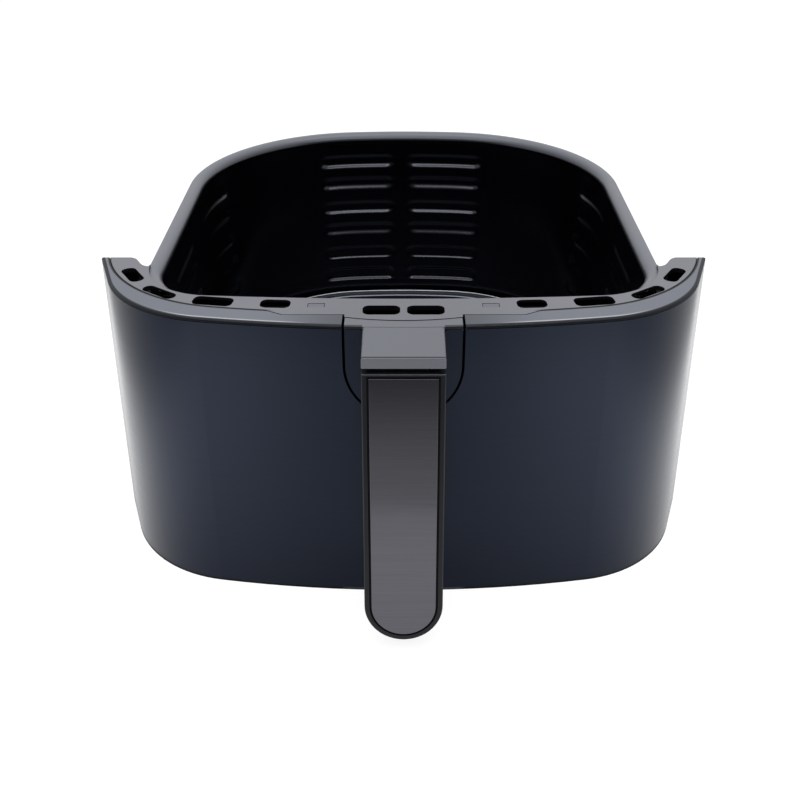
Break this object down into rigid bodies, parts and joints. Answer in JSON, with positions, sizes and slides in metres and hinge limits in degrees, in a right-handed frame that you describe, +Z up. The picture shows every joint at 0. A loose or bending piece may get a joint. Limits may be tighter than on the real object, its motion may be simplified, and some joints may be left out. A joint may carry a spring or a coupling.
{
  "type": "air fryer drawer",
  "caption": "Deep dark pan with a lift-out perforated plate, a wrap-round front panel with vents along its top, and a handle that hangs from a short neck.",
  "frame": {"origin": "middle of the drawer's footprint, on the table", "axes": "+Z up, +Y from the handle towards the rear of the pan, +X to the right as seen from the handle"},
  "size_m": [0.31, 0.3383, 0.15],
  "materials": {
    "pan_coating": "dark non-stick coating, satin",
    "bare_steel": "plain",
    "zinc_steel": "zinc plated",
    "black_plastic": "matte",
    "band_plastic": "fine matte, grey",
    "brushed_skin": "dark graphite, brushed along the width",
    "bezel_plastic": "fine matte, grey",
    "neck_plastic": "fine matte, grey",
    "grip_plastic": "dark, satin gloss",
    "brushed_insert": "dark metallic, brushed across",
    "silicone": "matte"
  },
  "bodies": {
    "drawer": {"pan": "pan_coating", "front_bracket": "bare_steel", "bracket_standoffs": "zinc_steel", "inner_cover": "black_plastic", "outer_cover": "band_plastic", "front_skin": "brushed_skin", "vent_bezel": "bezel_plastic", "handle_core": "black_plastic", "neck_cover": "neck_plastic", "handle_inlay": "brushed_skin", "grip_shell": "grip_plastic", "grip_carrier": "black_plastic", "grip_insert": "brushed_insert", "handle_screws": "zinc_steel", "grip_screws": "zinc_steel", "grip_screw_caps": "grip_plastic", "cover_screws": "zinc_steel", "bezel_screws": "zinc_steel"},
    "crisper": {"crisper_plate": "pan_coating", "crisper_bumper_front": "silicone", "crisper_bumper_rear": "silicone", "crisper_bumper_left": "silicone", "crisper_bumper_right": "silicone", "crisper_foot_1": "silicone", "crisper_foot_2": "silicone", "crisper_foot_3": "silicone", "crisper_foot_4": "silicone"}
  },
  "joints": [
    {"name": "crisper_lift", "type": "slide", "parent": "drawer", "child": "crisper", "axis": [0, 0, 1], "range_m": [0, 0.16]}
  ]
}
